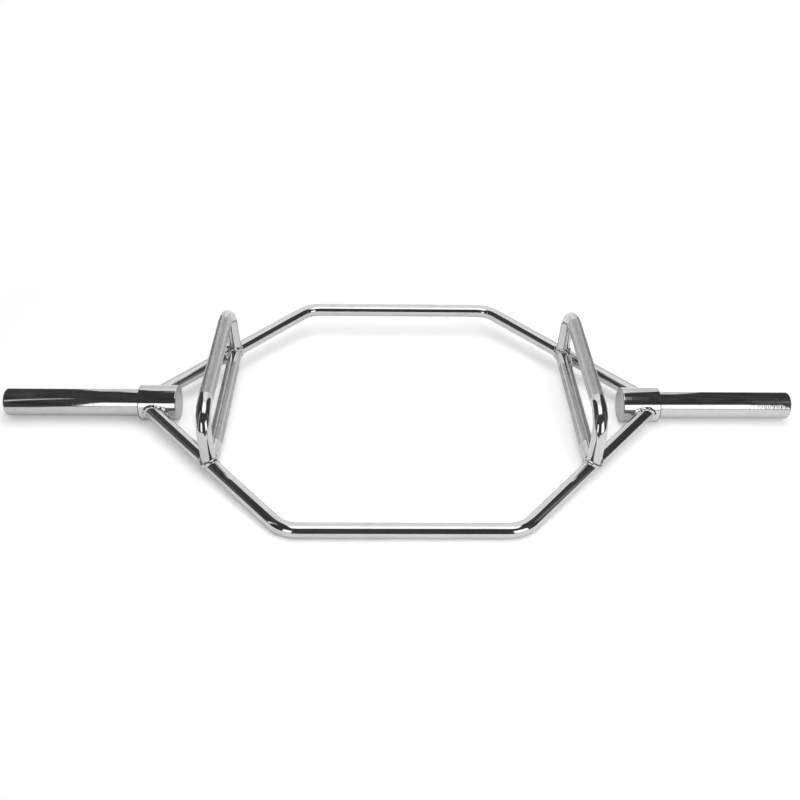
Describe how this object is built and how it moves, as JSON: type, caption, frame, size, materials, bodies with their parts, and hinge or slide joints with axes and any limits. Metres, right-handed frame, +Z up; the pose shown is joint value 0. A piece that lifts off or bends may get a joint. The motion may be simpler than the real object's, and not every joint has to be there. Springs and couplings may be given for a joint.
{
  "type": "hex trap bar",
  "caption": "Chrome hexagonal deadlift frame of bent round bar with low and raised knurled handles and turning sleeves for weight plates.",
  "frame": {"origin": "on the floor under the middle of the bar, which lies on its two collars", "axes": "+X along the sleeves to the right, +Y from front to rear, +Z up"},
  "size_m": [1.42, 0.6654, 0.1444],
  "materials": {
    "bar_chrome": "polished chrome plate on round bar",
    "handle_chrome": "chrome plate, knurled and satin on the grips",
    "collar_chrome": "polished chrome plate on turned steel",
    "sleeve_chrome": "polished chrome plate on turned tube",
    "weld_chrome": "chrome plate over rippled weld metal",
    "shaft_steel": "ground steel, greased",
    "spring_steel": "dark phosphated spring steel",
    "bronze": "sintered bearing bronze"
  },
  "bodies": {
    "frame": {"front_frame_bar": "bar_chrome", "rear_frame_bar": "bar_chrome", "left_low_handle": "handle_chrome", "left_raised_handle": "handle_chrome", "left_collar": "collar_chrome", "left_collar_plate": "collar_chrome", "left_spindle": "shaft_steel", "left_thrust_washer": "bronze", "left_retaining_washer": "shaft_steel", "left_circlip": "spring_steel", "left_collar_welds": "weld_chrome", "left_low_handle_welds": "weld_chrome", "left_raised_handle_welds": "weld_chrome", "right_low_handle": "handle_chrome", "right_raised_handle": "handle_chrome", "right_collar": "collar_chrome", "right_collar_plate": "collar_chrome", "right_spindle": "shaft_steel", "right_thrust_washer": "bronze", "right_retaining_washer": "shaft_steel", "right_circlip": "spring_steel", "right_collar_welds": "weld_chrome", "right_low_handle_welds": "weld_chrome", "right_raised_handle_welds": "weld_chrome"},
    "left_plate_sleeve": {"left_sleeve": "sleeve_chrome", "left_inner_bush": "bronze", "left_outer_bush": "bronze", "left_end_cap": "sleeve_chrome"},
    "right_plate_sleeve": {"right_sleeve": "sleeve_chrome", "right_inner_bush": "bronze", "right_outer_bush": "bronze", "right_end_cap": "sleeve_chrome"}
  },
  "joints": [
    {"name": "left_sleeve_spin", "type": "hinge", "parent": "frame", "child": "left_plate_sleeve", "pos_m": [-0.5897, 0, 0.03175], "axis": [-1, 0, 0], "continuous": true},
    {"name": "right_sleeve_spin", "type": "hinge", "parent": "frame", "child": "right_plate_sleeve", "pos_m": [0.5897, 0, 0.03175], "axis": [1, 0, 0], "continuous": true}
  ]
}
